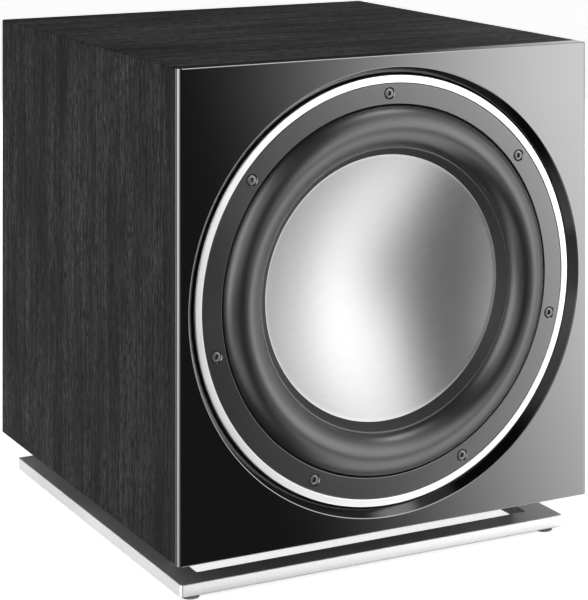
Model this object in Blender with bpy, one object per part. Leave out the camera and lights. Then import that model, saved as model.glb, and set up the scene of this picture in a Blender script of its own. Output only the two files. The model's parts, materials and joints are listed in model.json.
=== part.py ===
"""Free-standing active subwoofer on a raised open base.

Frame: +Z up, the driver faces -Y, the amplifier +Y, and the origin is on the floor under the
middle of the whole object. Depths along the driver are measured back from the front face.
"""
import math

import bmesh
import bpy

# Driving dimensions, in metres.
GAP = 0.0003
CABINET_WIDTH = 0.396
CABINET_HEIGHT = 0.3987
CABINET_DEPTH = 0.4075
BOARD = 0.018
FRONT_BOARD = 0.015
FRONT_EDGE_RADIUS = 0.0036
MITRE_GAP = 0.00025

FOOT_HEIGHT = 0.004
BASE_THICKNESS = 0.0102
BASE_TO_CABINET = 0.0226
BASE_WIDTH = 0.3726
BASE_FRONT = 0.0203
BASE_BACK = 0.396
BASE_RAIL = 0.0227
BASE_SIDE_RAIL = 0.0251

ROLL_PROUD = 0.0055
REAR_PROUD = 0.018
DRIVER_ABOVE_UNDERSIDE = 0.1999

RING_SIDES = 40
SCREW_COUNT = 7
SCREW_CIRCLE = 0.1657
SCREW_HEAD = 0.00435
FLANGE_RADIUS = 0.1739
COIL_RADIUS = 0.0384
OPENING_MOUTH = 0.1885
OPENING_THROAT = 0.1823
BEVEL_DEPTH = 0.007
TRIM_OUTER = 0.1813
TRIM_INNER = 0.1744
RING_OUTER = 0.1739
RING_INNER = 0.1564
RING_FACE = 0.0053
RING_BACK = 0.0076
FLANGE_FACE = RING_BACK + GAP
FLANGE_LEDGE = 0.0094
FLANGE_BACK = 0.0134
ROLL_MIDDLE = 0.1381
ROLL_HALF_WIDTH = 0.018
ROLL_RISE = FLANGE_FACE + ROLL_PROUD
DISH_RIM = 0.1121
DISH_RIM_DEPTH = 0.0151
DISH_CENTRE_DEPTH = 0.0470
BASKET_SEAT = 0.118
SPIDER_LEVEL = 0.0930

AMP_WIDTH = 0.220
AMP_HEIGHT = 0.290
AMP_WALL = 0.003
AMP_SCREW_INSET = 0.0062
FIN_COUNT = 15
AMP_FRAME = 0.012
INLET_X = -0.062
INLET_Z = -0.088
INLET_BODY = (0.028, 0.058)
ROCKER_UP = 0.0185
FUSE_UP = 0.0042
BOARD_BACK = 0.022
ROCKER_TILT = math.radians(10)

# Levels worked out from them.
FRONT = (ROLL_PROUD - CABINET_DEPTH - REAR_PROUD) / 2
BACK = FRONT + CABINET_DEPTH
BASE_TOP = FOOT_HEIGHT + BASE_THICKNESS
UNDERSIDE = BASE_TOP + BASE_TO_CABINET
MIDDLE = UNDERSIDE + CABINET_HEIGHT / 2
DRIVER = (0.0, FRONT, UNDERSIDE + DRIVER_ABOVE_UNDERSIDE)
INSIDE_WIDTH = CABINET_WIDTH - 2 * (BOARD + GAP)
INSIDE_HEIGHT = CABINET_HEIGHT - 2 * (BOARD + GAP)
GASKET_FACE = BACK + 0.0015
PLATE_BACK = GASKET_FACE + GAP
PLATE_FACE = PLATE_BACK + AMP_WALL

# Colour, roughness and metallic value of each finish.
VENEER = ((0.026, 0.026, 0.027), 0.45, 0.0)
RAW_BOARD = ((0.40, 0.28, 0.17), 0.8, 0.0)
GLOSS_BLACK = ((0.005, 0.005, 0.006), 0.06, 0.0)
SATIN_BLACK = ((0.020, 0.020, 0.022), 0.35, 0.0)
BRIGHT_SILVER = ((0.80, 0.80, 0.81), 0.25, 1.0)
BRUSHED_SILVER = ((0.62, 0.62, 0.63), 0.32, 1.0)
RUBBER = ((0.018, 0.018, 0.019), 0.5, 0.0)
FOAM = ((0.03, 0.03, 0.03), 0.9, 0.0)
CAST_METAL = ((0.035, 0.035, 0.037), 0.5, 0.3)
PAPER_PULP = ((0.03, 0.03, 0.03), 0.8, 0.0)
POLYIMIDE = ((0.45, 0.20, 0.04), 0.35, 0.0)
COPPER = ((0.70, 0.32, 0.16), 0.3, 1.0)
SPIDER_CLOTH = ((0.50, 0.36, 0.14), 0.85, 0.0)
ZINC_STEEL = ((0.55, 0.55, 0.56), 0.35, 1.0)
FERRITE = ((0.05, 0.05, 0.052), 0.7, 0.0)
BLACK_STEEL = ((0.02, 0.02, 0.02), 0.35, 0.6)
BLACK_ALUMINIUM = ((0.025, 0.025, 0.027), 0.45, 0.4)
BLACK_PLASTIC = ((0.02, 0.02, 0.02), 0.4, 0.0)
LIT_GREEN = ((0.08, 0.55, 0.12), 0.2, 0.0)
CIRCUIT_GREEN = ((0.02, 0.12, 0.05), 0.45, 0.0)
WINDING_TAPE = ((0.60, 0.45, 0.08), 0.4, 0.0)
SLEEVE_BLUE = ((0.03, 0.05, 0.12), 0.35, 0.0)
CABLE_RED = ((0.35, 0.03, 0.03), 0.45, 0.0)


# ---------------------------------------------------------------- outlines

def arc(centre_u, centre_v, radius, start, end, steps):
    """Points on a circle from the start angle to the end angle, in degrees."""
    points = []
    for step in range(steps + 1):
        angle = math.radians(start + (end - start) * step / steps)
        points.append((centre_u + radius * math.cos(angle), centre_v + radius * math.sin(angle)))
    return points


def rectangle(width, height, u=0.0, v=0.0):
    """Corner points of a rectangle centred on (u, v)."""
    half_w, half_h = width / 2, height / 2
    corners = ((-half_w, -half_h), (half_w, -half_h), (half_w, half_h), (-half_w, half_h))
    return [(u + a, v + b) for a, b in corners]


def rounded_rectangle(width, height, radius, steps=3):
    """Outline of a rectangle with round corners, centred on the origin."""
    in_u, in_v = width / 2 - radius, height / 2 - radius
    points = []
    for corner, (sign_u, sign_v) in enumerate(((1, 1), (-1, 1), (-1, -1), (1, -1))):
        start = 90 * corner
        points += arc(sign_u * in_u, sign_v * in_v, radius, start, start + 90, steps)
    return points


def disc(radius, sides, u=0.0, v=0.0):
    """Outline of a regular polygon that stands for a round hole or rod."""
    return arc(u, v, radius, 0, 360, sides)[:-1]


def ring_positions(count, radius):
    """Evenly spaced (x, z) places on a circle, the first at the top."""
    places = []
    for index in range(count):
        angle = math.pi / 2 + math.tau * index / count
        places.append((radius * math.cos(angle), radius * math.sin(angle)))
    return places


# ---------------------------------------------------------------- solids

def add_prism(bm, outline, low, high, axis="Y"):
    """Extrude a closed outline along one axis; (u, v) are the other two axes in order."""
    def at(u, v, along):
        return {"X": (along, u, v), "Y": (u, along, v), "Z": (u, v, along)}[axis]
    base = bm.faces.new([bm.verts.new(at(u, v, low)) for u, v in outline])
    extruded = bmesh.ops.extrude_face_region(bm, geom=[base])["geom"]
    lifted = [item for item in extruded if isinstance(item, bmesh.types.BMVert)]
    bmesh.ops.translate(bm, verts=lifted, vec=at(0.0, 0.0, high - low))


def add_turned(bm, outline, sides):
    """Spin an outline of (radius, y) points about the Y axis.

    An outline that starts and ends on the axis is left open there; any other one is closed.
    """
    points = [bm.verts.new((radius, y, 0.0)) for radius, y in outline]
    edges = [bm.edges.new(pair) for pair in zip(points, points[1:])]
    if outline[0][0] > 0:
        edges.append(bm.edges.new((points[-1], points[0])))
    bmesh.ops.spin(bm, geom=points + edges, cent=(0, 0, 0), axis=(0, 1, 0),
                   angle=math.tau, steps=sides, use_merge=True)
    bmesh.ops.remove_doubles(bm, verts=bm.verts, dist=1e-6)


def place(name, mesh, location=(0, 0, 0), rotation=(0, 0, 0)):
    """Put a mesh into the scene as a named object."""
    placed = bpy.data.objects.new(name, mesh)
    placed.location = location
    placed.rotation_euler = rotation
    bpy.context.scene.collection.objects.link(placed)
    return placed


def finish_material(name, finish):
    """A Principled material of the given finish for one sub-part."""
    colour, roughness, metallic = finish
    material = bpy.data.materials.new(name)
    material.use_nodes = True
    shader = material.node_tree.nodes["Principled BSDF"]
    shader.inputs["Base Color"].default_value = (*colour, 1.0)
    shader.inputs["Roughness"].default_value = roughness
    shader.inputs["Metallic"].default_value = metallic
    return material


def solid(name, bm, finish, location=(0, 0, 0), rotation=(0, 0, 0)):
    """Turn a finished bmesh into a smooth-shaded object with its own material."""
    bmesh.ops.recalc_face_normals(bm, faces=bm.faces)
    mesh = bpy.data.meshes.new(name)
    bm.to_mesh(mesh)
    bm.free()
    mesh.shade_smooth()
    mesh.set_sharp_from_angle(angle=math.radians(30))
    if finish:
        mesh.materials.append(finish_material(name, finish))
    return place(name, mesh, location, rotation)


def prism(name, outline, low, high, finish, axis="Y", location=(0, 0, 0), rotation=(0, 0, 0)):
    """One extruded piece."""
    bm = bmesh.new()
    add_prism(bm, outline, low, high, axis)
    return solid(name, bm, finish, location, rotation)


def turned(name, outline, sides, finish, location=(0, 0, 0), rotation=(0, 0, 0)):
    """One lathe-turned piece."""
    bm = bmesh.new()
    add_turned(bm, outline, sides)
    return solid(name, bm, finish, location, rotation)


def as_tool(tool):
    """Mark an object as a helper that is not part of the model."""
    tool.hide_render = True
    tool.display_type = "WIRE"
    return tool


def combine(target, tool, operation):
    """Cut the tool from the target, or join it to the target."""
    modifier = target.modifiers.new(tool.name, "BOOLEAN")
    modifier.operation = operation
    modifier.object = tool


def soften(target, width, segments=1):
    """Break the sharp edges of a piece."""
    modifier = target.modifiers.new("soft_edges", "BEVEL")
    modifier.width = width
    modifier.segments = segments
    modifier.limit_method = "ANGLE"


def copies(first, name, places):
    """Repeat a piece, sharing its mesh; the first keeps its place and gets number 1."""
    first.name = f"{name}_1"
    for number, location in enumerate(places[1:], start=2):
        place(f"{name}_{number}", first.data, location, first.rotation_euler)


# ---------------------------------------------------------------- cabinet

def wall_outline(half_length, half_height):
    """One mitred wall as (along, outward) points."""
    outer = half_length - MITRE_GAP
    inner = outer - BOARD
    low = half_height - BOARD
    return [(-outer, half_height), (outer, half_height), (inner, low), (-inner, low)]


def build_walls():
    start, end = FRONT + FRONT_BOARD + GAP, BACK
    centre = (0, 0, MIDDLE)
    level = wall_outline(CABINET_WIDTH / 2, CABINET_HEIGHT / 2)
    upright = wall_outline(CABINET_HEIGHT / 2, CABINET_WIDTH / 2)
    walls = {
        "top_panel": level,
        "bottom_panel": [(along, -out) for along, out in level],
        "right_side_panel": [(out, along) for along, out in upright],
        "left_side_panel": [(-out, along) for along, out in upright],
    }
    for name, outline in walls.items():
        prism(name, outline, start, end, VENEER, location=centre)


def build_front_baffle():
    """Gloss front board with round upright edges and a bevelled opening."""
    half = CABINET_WIDTH / 2
    turn = FRONT_EDGE_RADIUS
    outline = [(half, FRONT_BOARD), (-half, FRONT_BOARD)]
    outline += arc(-half + turn, turn, turn, 180, 270, 4)
    outline += arc(half - turn, turn, turn, 270, 360, 4)
    board = prism("front_baffle", outline, UNDERSIDE, UNDERSIDE + CABINET_HEIGHT, GLOSS_BLACK,
                  axis="Z", location=(0, FRONT, 0))
    over = 0.001
    slope = (OPENING_MOUTH - OPENING_THROAT) / BEVEL_DEPTH
    opening = [(0, -over), (OPENING_MOUTH + slope * over, -over),
               (OPENING_THROAT, BEVEL_DEPTH), (OPENING_THROAT, FRONT_BOARD + over),
               (0, FRONT_BOARD + over)]
    cutter = as_tool(turned("front_opening", opening, 56, None, DRIVER))
    combine(board, cutter, "DIFFERENCE")


def build_inner_boards(screw_holes):
    """The driver's board, the window brace and the rear board."""
    face = rectangle(INSIDE_WIDTH, INSIDE_HEIGHT)
    start = FRONT + FRONT_BOARD + GAP
    centre = (0, 0, MIDDLE)
    baffle = prism("inner_baffle", face, start, start + BOARD, RAW_BOARD, location=centre)
    hole = prism("driver_hole", disc(0.1575, RING_SIDES), 0, 0.05, None, location=DRIVER)
    combine(baffle, as_tool(hole), "DIFFERENCE")
    combine(baffle, screw_holes, "DIFFERENCE")

    brace_front = FRONT + 0.215
    brace = prism("cabinet_brace", face, brace_front, brace_front + BOARD, RAW_BOARD,
                  location=centre)
    window = prism("brace_window", rounded_rectangle(0.250, 0.250, 0.040), brace_front - BOARD,
                   brace_front + 2 * BOARD, None, location=centre)
    combine(brace, as_tool(window), "DIFFERENCE")

    rear = prism("rear_panel", face, BACK - BOARD, BACK, VENEER, location=centre)
    hole = rectangle(AMP_WIDTH - 2 * AMP_FRAME, AMP_HEIGHT - 2 * AMP_FRAME)
    opening = prism("amplifier_hole", hole, BACK - 2 * BOARD, BACK + BOARD, None,
                    location=centre)
    combine(rear, as_tool(opening), "DIFFERENCE")
    return rear


def build_base():
    """Open rectangular frame on four pads, with four hidden spacers under the cabinet."""
    length = BASE_BACK - BASE_FRONT
    middle = FRONT + (BASE_FRONT + BASE_BACK) / 2
    frame = prism("base_frame", rounded_rectangle(BASE_WIDTH, length, 0.002, 2), FOOT_HEIGHT,
                  BASE_TOP, BRUSHED_SILVER, axis="Z", location=(0, middle, 0))
    inner = rectangle(BASE_WIDTH - 2 * BASE_SIDE_RAIL, length - 2 * BASE_RAIL)
    opening = prism("base_opening", inner, 0, 2 * BASE_TOP, None, axis="Z",
                    location=(0, middle, 0))
    combine(frame, as_tool(opening), "DIFFERENCE")
    soften(frame, 0.0005)

    upright = (math.pi / 2, 0, 0)
    signs = ((-1, -1), (1, -1), (-1, 1), (1, 1))
    pad = [(0, 0), (0.0072, 0), (0.008, 0.0008), (0.008, FOOT_HEIGHT - GAP), (0, FOOT_HEIGHT - GAP)]
    pad_x, pad_y = 0.173, length / 2 - 0.0107
    places = [(sx * pad_x, middle + sy * pad_y, 0) for sx, sy in signs]
    first = turned("foot", pad, 16, RUBBER, places[0], upright)
    copies(first, "rubber_foot", places)

    tall = BASE_TO_CABINET - 2 * GAP
    post = [(0, 0), (0.0044, 0), (0.005, 0.0006), (0.005, tall - 0.0006), (0.0044, tall), (0, tall)]
    post_x, post_y = 0.167, length / 2 - 0.0547
    places = [(sx * post_x, middle + sy * post_y, BASE_TOP + GAP) for sx, sy in signs]
    first = turned("spacer", post, 12, BLACK_STEEL, places[0], upright)
    copies(first, "base_spacer", places)


# ---------------------------------------------------------------- driver

def build_screw_holes():
    """Seven clearance holes through the driver's flange and its board."""
    bm = bmesh.new()
    for x, z in ring_positions(SCREW_COUNT, SCREW_CIRCLE):
        add_prism(bm, disc(0.0026, 8, x, z), 0.009, 0.036)
    return as_tool(solid("flange_screw_holes", bm, None, DRIVER))


def build_trim_ring():
    soft = 0.0006
    outline = [(TRIM_INNER, RING_FACE + soft), (TRIM_INNER + soft, RING_FACE),
               (TRIM_OUTER - soft, RING_FACE), (TRIM_OUTER, RING_FACE + soft),
               (TRIM_OUTER, FRONT_BOARD), (TRIM_INNER, FRONT_BOARD)]
    turned("trim_ring", outline, RING_SIDES, BRIGHT_SILVER, DRIVER)


def build_frame_ring():
    """Satin ring over the driver's flange, with a hole round each screw head."""
    outline = [(RING_INNER, RING_FACE), (RING_OUTER, RING_FACE), (RING_OUTER, RING_BACK),
               (RING_INNER, RING_BACK)]
    ring = turned("frame_ring", outline, RING_SIDES, SATIN_BLACK, DRIVER)
    bm = bmesh.new()
    for x, z in ring_positions(SCREW_COUNT, SCREW_CIRCLE):
        add_prism(bm, disc(SCREW_HEAD + 0.00035, 10, x, z), RING_FACE - 0.001, RING_BACK + 0.001)
    combine(ring, as_tool(solid("head_clearance", bm, None, DRIVER)), "DIFFERENCE")


def build_basket(screw_holes):
    """Cast basket: flange, tapered wall with six windows, spider shelf and rear seat."""
    ledge, neck_out, neck_in, vent, shelf = 0.1707, 0.090, 0.084, 0.060, 0.098
    shelf_level = SPIDER_LEVEL + 0.001
    outline = [(ledge, FLANGE_FACE), (FLANGE_RADIUS, FLANGE_FACE), (FLANGE_RADIUS, FLANGE_BACK),
               (0.156, FLANGE_BACK), (0.150, 0.036), (0.106, shelf_level), (neck_out, 0.104),
               (neck_out, BASKET_SEAT), (vent, BASKET_SEAT), (vent, 0.113), (neck_in, 0.113),
               (neck_in, shelf_level), (shelf, shelf_level), (0.1465, 0.034), (0.152, 0.020),
               (0.152, FLANGE_LEDGE), (ledge, FLANGE_LEDGE)]
    basket = turned("basket", outline, RING_SIDES, CAST_METAL, DRIVER)
    bm = bmesh.new()
    near, far, half_angle = 0.070, 0.170, 20
    for index in range(6):
        middle = 60 * index
        sector = arc(0, 0, far, middle - half_angle, middle + half_angle, 2)
        sector += arc(0, 0, near, middle + half_angle, middle - half_angle, 1)
        add_prism(bm, sector, 0.042, 0.086)
    windows = as_tool(solid("basket_windows", bm, None, DRIVER))
    combine(basket, windows, "DIFFERENCE")
    combine(basket, screw_holes, "DIFFERENCE")


def build_surround():
    """Half-roll rubber surround: clamped outer lip, roll, and glued inner lip."""
    wall, clamped = 0.0013, RING_INNER + 0.004
    radius = (ROLL_HALF_WIDTH ** 2 + ROLL_RISE ** 2) / (2 * ROLL_RISE)
    centre = radius - ROLL_PROUD
    spread = math.degrees(math.asin(ROLL_HALF_WIDTH / radius))
    under = arc(ROLL_MIDDLE, centre, radius - wall, -90 + spread, -90 - spread, 6)
    over = arc(ROLL_MIDDLE, centre, radius, -90 - spread, -90 + spread, 6)
    seat = [(0.1210, FLANGE_LEDGE), (0.1132, 0.0160), (DISH_RIM + GAP, DISH_RIM_DEPTH)]
    outline = [(clamped, FLANGE_FACE), (clamped, FLANGE_FACE + 0.0012)] + under + seat + over
    turned("surround", outline, RING_SIDES, RUBBER, DRIVER)


def dish_depth(radius):
    """Depth of the dish's front face at a radius: a shallow sphere seen from inside."""
    sag = DISH_CENTRE_DEPTH - DISH_RIM_DEPTH
    sphere = (DISH_RIM ** 2 + sag ** 2) / (2 * sag)
    return DISH_CENTRE_DEPTH - sphere + math.sqrt(sphere ** 2 - radius ** 2)


def build_cone():
    """The moving pieces: dish, cone body, and the coil on its former."""
    wall, steps = 0.0012, 4
    radii = [DISH_RIM * step / steps for step in range(steps + 1)]
    outline = [(radius, dish_depth(radius)) for radius in radii]
    outline += [(radius, dish_depth(radius) + wall) for radius in reversed(radii)]
    turned("cone_dish", outline, RING_SIDES, BRUSHED_SILVER, DRIVER)

    neck = COIL_RADIUS + GAP
    outline = [(0.1212, 0.0099), (0.1136, 0.0167), (neck, 0.0620), (neck, 0.0638),
               (0.1145, 0.0180), (0.1221, 0.0109)]
    turned("cone_body", outline, RING_SIDES, PAPER_PULP, DRIVER)

    coil_sides = 24
    former_in, former_front, former_back = COIL_RADIUS - 0.0008, 0.0455, 0.139
    outline = [(former_in, former_front), (COIL_RADIUS, former_front),
               (COIL_RADIUS, former_back), (former_in, former_back)]
    turned("voice_coil_former", outline, coil_sides, POLYIMIDE, DRIVER)
    winding_out, winding_front, winding_back = 0.0400, 0.1073, 0.1388
    outline = [(neck, winding_front), (winding_out, winding_front),
               (winding_out, winding_back), (neck, winding_back)]
    turned("voice_coil_winding", outline, coil_sides, COPPER, DRIVER)


def build_spider():
    """Corrugated centring disc from the former out to the basket's shelf."""
    inner, first, last, outer = COIL_RADIUS + GAP, 0.044, 0.084, 0.097
    wall, swing, folds = 0.0007, 0.0020, 6
    top = [(inner, SPIDER_LEVEL)]
    for fold in range(folds + 1):
        radius = first + (last - first) * fold / folds
        inside = 0 < fold < folds
        side = (-1) ** fold if inside else 0
        top.append((radius, SPIDER_LEVEL + side * swing))
    top.append((outer, SPIDER_LEVEL))
    outline = top + [(radius, depth + wall) for radius, depth in reversed(top)]
    turned("spider", outline, 24, SPIDER_CLOTH, DRIVER)


def build_motor():
    """Top plate, magnet ring and yoke with a vented pole."""
    plate_thick, magnet_thick, yoke_thick = 0.010, 0.030, 0.010
    seat = BASKET_SEAT + GAP
    plate_end = seat + plate_thick
    magnet_start = plate_end + GAP
    magnet_end = magnet_start + magnet_thick
    yoke_start = magnet_end + GAP
    yoke_end = yoke_start + yoke_thick
    plate_in, plate_out, magnet_in, magnet_out = 0.041, 0.084, 0.048, 0.088
    plate = [(plate_in, seat), (plate_out, seat), (plate_out, plate_end), (plate_in, plate_end)]
    turned("top_plate", plate, 24, ZINC_STEEL, DRIVER)
    magnet = [(magnet_in, magnet_start), (magnet_out, magnet_start), (magnet_out, magnet_end),
              (magnet_in, magnet_end)]
    turned("magnet_ring", magnet, 24, FERRITE, DRIVER)
    pole_top, pole, vent, edge = 0.116, 0.0366, 0.012, 0.082
    yoke = [(vent, pole_top), (pole, pole_top), (pole, yoke_start), (edge, yoke_start),
            (edge, yoke_end), (vent, yoke_end)]
    turned("pole_yoke", yoke, 24, ZINC_STEEL, DRIVER)


def build_gasket():
    """Sealing strip between the flange and its board, inside the screw circle."""
    start, end, inner, outer = FLANGE_BACK + GAP, FRONT_BOARD, 0.1578, 0.1628
    outline = [(inner, start), (outer, start), (outer, end), (inner, end)]
    turned("woofer_gasket", outline, RING_SIDES, FOAM, DRIVER)


def build_woofer_screws():
    shank, top, seat, tip = 0.0023, 0.0055, 0.0091, 0.0300
    outline = [(0, top), (SCREW_HEAD, top), (SCREW_HEAD, seat), (shank, seat), (shank, tip),
               (0, tip)]
    places = [(x, FRONT, DRIVER[2] + z) for x, z in ring_positions(SCREW_COUNT, SCREW_CIRCLE)]
    first = turned("screw", outline, 10, BLACK_STEEL, places[0])
    copies(first, "woofer_screw", places)


def build_terminal():
    """Terminal block with two push-on blades under the basket's neck."""
    half, height, under = 0.011, 0.008, 0.090 + GAP
    block = prism("woofer_terminal", rectangle(2 * half, height, 0, -under - height / 2),
                  0.105, 0.117, BLACK_PLASTIC, location=DRIVER)
    bm = bmesh.new()
    for side in (-1, 1):
        blade = rectangle(0.0063, 0.012, side * 0.0062, -under - height - 0.004)
        add_prism(bm, blade, 0.1106, 0.1114)
    combine(block, as_tool(solid("terminal_blades", bm, None, DRIVER)), "UNION")


# ---------------------------------------------------------------- amplifier

def amp_screw_places():
    """(x, z) of the six plate screws, from the plate's middle."""
    x = AMP_WIDTH / 2 - AMP_SCREW_INSET
    z = AMP_HEIGHT / 2 - AMP_SCREW_INSET
    return [(side * x, level) for level in (z, 0.0, -z) for side in (-1, 1)]


def at_plate(x, z):
    """A place on the plate's outer face."""
    return (x, PLATE_FACE, MIDDLE + z)


def fin_comb():
    """Outline of the cooling fins and their foot, seen from above."""
    pitch, foot, tip_y = 0.0128, 0.0020, BACK + REAR_PROUD
    root_half, tip_half, sunk = 0.0012, 0.0007, 0.001
    half = pitch * (FIN_COUNT - 1) / 2 + 0.003
    outline = [(half, PLATE_FACE - sunk), (-half, PLATE_FACE - sunk), (-half, PLATE_FACE + foot)]
    for index in range(FIN_COUNT):
        x = pitch * (index - (FIN_COUNT - 1) / 2)
        outline += [(x - root_half, PLATE_FACE + foot), (x - tip_half, tip_y),
                    (x + tip_half, tip_y), (x + root_half, PLATE_FACE + foot)]
    outline.append((half, PLATE_FACE + foot))
    return outline


def build_amp_plate(rear_panel, knobs, jacks, lamp, switch):
    """Plate with fins, and the gasket and rear board that its screws go through."""
    centre = (0, 0, MIDDLE)
    outer = rounded_rectangle(AMP_WIDTH, AMP_HEIGHT, 0.005)
    panel = prism("amp_panel", outer, PLATE_BACK, PLATE_FACE, BLACK_ALUMINIUM, location=centre)
    comb = prism("fin_comb", fin_comb(), 0.022, 0.136, None, axis="Z", location=centre)
    combine(panel, as_tool(comb), "UNION")

    low, high = PLATE_BACK - 0.001, PLATE_FACE + 0.001
    bm = bmesh.new()
    for x, z in knobs:
        add_prism(bm, disc(0.0036, 12, x, z), low, high)
    for x, z in jacks:
        add_prism(bm, disc(0.0050, 12, x, z), low, high)
    add_prism(bm, disc(0.0029, 10, *lamp), low, high)
    add_prism(bm, rectangle(0.011, 0.0048, *switch), low, high)
    opening = rectangle(INLET_BODY[0] + 0.0008, INLET_BODY[1] + 0.0008, INLET_X, INLET_Z)
    add_prism(bm, opening, low, high)
    combine(panel, as_tool(solid("control_openings", bm, None, centre)), "DIFFERENCE")

    gasket = prism("amp_gasket", outer, BACK + GAP, GASKET_FACE, FOAM, location=centre)
    hole = rectangle(AMP_WIDTH - 2 * AMP_FRAME, AMP_HEIGHT - 2 * AMP_FRAME)
    inner = prism("gasket_opening", hole, BACK - GAP, PLATE_BACK, None, location=centre)
    combine(gasket, as_tool(inner), "DIFFERENCE")

    bm = bmesh.new()
    for x, z in amp_screw_places():
        add_prism(bm, disc(0.0022, 8, x, z), BACK - 0.016, PLATE_FACE + 0.004)
    holes = as_tool(solid("plate_screw_holes", bm, None, centre))
    for target in (panel, gasket, rear_panel):
        combine(target, holes, "DIFFERENCE")


def build_amp_screws():
    head, shank = 0.0037, 0.0018
    outline = [(0, -0.018), (shank, -0.018), (shank, GAP), (head, GAP), (head, 0.0014),
               (0.0026, 0.0024), (0, 0.0024)]
    places = [at_plate(x, z) for x, z in amp_screw_places()]
    first = turned("plate_screw", outline, 8, BLACK_STEEL, places[0])
    copies(first, "amp_screw", places)


def build_knobs(places):
    """Three rotary controls, each on its shaft, with a pointer groove in the cap."""
    shaft, skirt, cap = 0.0030, 0.0094, 0.0088
    outline = [(0, -0.010), (shaft, -0.010), (shaft, 0.0005), (skirt, 0.0005), (cap, 0.0116),
               (0.0080, 0.0126), (0, 0.0126)]
    for name, (x, z) in zip(("volume_knob", "crossover_knob", "phase_knob"), places):
        knob = turned(name, outline, 16, BLACK_PLASTIC, at_plate(x, z))
        groove = prism(f"{name}_groove", rectangle(0.0012, 0.0070, 0, 0.0050), 0.0118, 0.0136,
                       None, location=at_plate(x, z))
        combine(knob, as_tool(groove), "DIFFERENCE")


def build_jacks(places):
    """Two phono sockets."""
    outline = [(0, 0.001), (0.0017, 0.001), (0.0017, 0.0092), (0.0041, 0.0092),
               (0.0041, 0.0020), (0.0062, 0.0020), (0.0062, GAP), (0.0045, GAP),
               (0.0045, -0.010), (0, -0.010)]
    for name, (x, z) in zip(("line_in_left", "line_in_right"), places):
        turned(name, outline, 12, BRUSHED_SILVER, at_plate(x, z))


def build_lamp(place_xz):
    dome = arc(0, 0, 0.0025, 0, 90, 3)
    outline = [(0, -0.008), (0.0025, -0.008)] + dome[:-1] + [(0, 0.0025)]
    turned("status_lamp", outline, 10, LIT_GREEN, at_plate(*place_xz))


def build_mode_switch(place_xz):
    """Slide lever in its slot, on a wider shoe behind the plate."""
    lever, shoe, behind, thick, proud = 0.0022, 0.009, AMP_WALL + GAP, 0.002, 0.0026
    outline = [(-lever, proud), (-lever, -behind), (-shoe, -behind), (-shoe, -behind - thick),
               (shoe, -behind - thick), (shoe, -behind), (lever, -behind), (lever, proud)]
    prism("mode_switch", outline, -0.0021, 0.0021, BLACK_PLASTIC, axis="Z",
          location=at_plate(*place_xz))


def build_mains_inlet():
    """Mains inlet with its flange, contact pins, rocker window and fuse slot."""
    centre = at_plate(INLET_X, INLET_Z)
    flange_back, flange_face, body_back = GAP, 0.0027, -0.029
    inlet = prism("mains_inlet", rounded_rectangle(0.034, 0.066, 0.003, 2), flange_back,
                  flange_face, BLACK_PLASTIC, location=centre)
    body = prism("inlet_body", rectangle(*INLET_BODY), body_back, 0.001, None, location=centre)
    combine(inlet, as_tool(body), "UNION")
    over = flange_face + 0.001
    bm = bmesh.new()
    add_prism(bm, rectangle(0.0216, 0.0144, 0, ROCKER_UP), flange_face - 0.012, over)
    add_prism(bm, rectangle(0.0240, 0.0074, 0, FUSE_UP), flange_face - 0.020, over)
    socket = [(-0.0122, -0.0213), (0.0122, -0.0213), (0.0122, -0.0085), (0.0085, -0.0047),
              (-0.0085, -0.0047), (-0.0122, -0.0085)]
    add_prism(bm, socket, flange_face - 0.016, over)
    combine(inlet, as_tool(solid("inlet_recesses", bm, None, centre)), "DIFFERENCE")
    bm = bmesh.new()
    for x, z in ((-0.007, -0.015), (0, -0.011), (0.007, -0.015)):
        add_prism(bm, rectangle(0.002, 0.004, x, z), -0.015, -0.003)
    combine(inlet, as_tool(solid("inlet_pins", bm, None, centre)), "UNION")

    pivot = (centre[0], centre[1] + flange_face - 0.003, centre[2] + ROCKER_UP)
    outline = [(-0.001, -0.0063), (0.0036, -0.0063), (0.0020, 0), (0.0036, 0.0063),
               (-0.001, 0.0063), (-0.005, 0.0035), (-0.005, -0.0035)]
    prism("power_rocker", outline, -0.0104, 0.0104, BLACK_PLASTIC, axis="X", location=pivot,
          rotation=(-ROCKER_TILT, 0, 0))

    slot_centre = (centre[0], centre[1] + flange_face, centre[2] + FUSE_UP)
    outline = [(-0.0177, -0.0034), (0.0006, -0.0034), (0.0019, -0.0022), (0.0019, -0.0008),
               (0.0006, 0.0004), (0.0006, 0.0034), (-0.0177, 0.0034)]
    prism("fuse_drawer", outline, -0.0117, 0.0117, BLACK_PLASTIC, axis="X",
          location=slot_centre)


def build_electronics():
    """Circuit board with its parts, transformer and reservoir capacitor."""
    front, thick = BACK - BOARD_BACK, 0.0016
    board_at = (0.015, front, MIDDLE + 0.045)
    board = prism("amp_board", rectangle(0.150, 0.120), 0, thick, CIRCUIT_GREEN,
                  location=board_at)
    bm = bmesh.new()
    for width, height, x, z, rise in ((0.070, 0.012, -0.025, 0.048, 0.020),
                                      (0.022, 0.022, -0.050, 0.010, 0.014),
                                      (0.018, 0.010, -0.015, 0.018, 0.008),
                                      (0.030, 0.016, 0.010, -0.040, 0.016)):
        add_prism(bm, rectangle(width, height, x, z), -rise, thick / 2)
    combine(board, as_tool(solid("board_parts", bm, None, board_at)), "UNION")

    can = [(0, -0.050), (0.0142, -0.050), (0.015, -0.049), (0.015, -GAP), (0, -GAP)]
    turned("reservoir_capacitor", can, 16, SLEEVE_BLUE, (0.060, front, MIDDLE + 0.060))

    inner, outer, soft = 0.016, 0.044, 0.008
    near, far = -0.050, -0.008
    ring = [(inner, near + soft), (inner + soft, near), (outer - soft, near),
            (outer, near + soft), (outer, far - soft), (outer - soft, far), (inner + soft, far),
            (inner, far - soft)]
    turned("transformer", ring, 24, WINDING_TAPE, (0.038, BACK, MIDDLE - 0.084))


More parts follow.
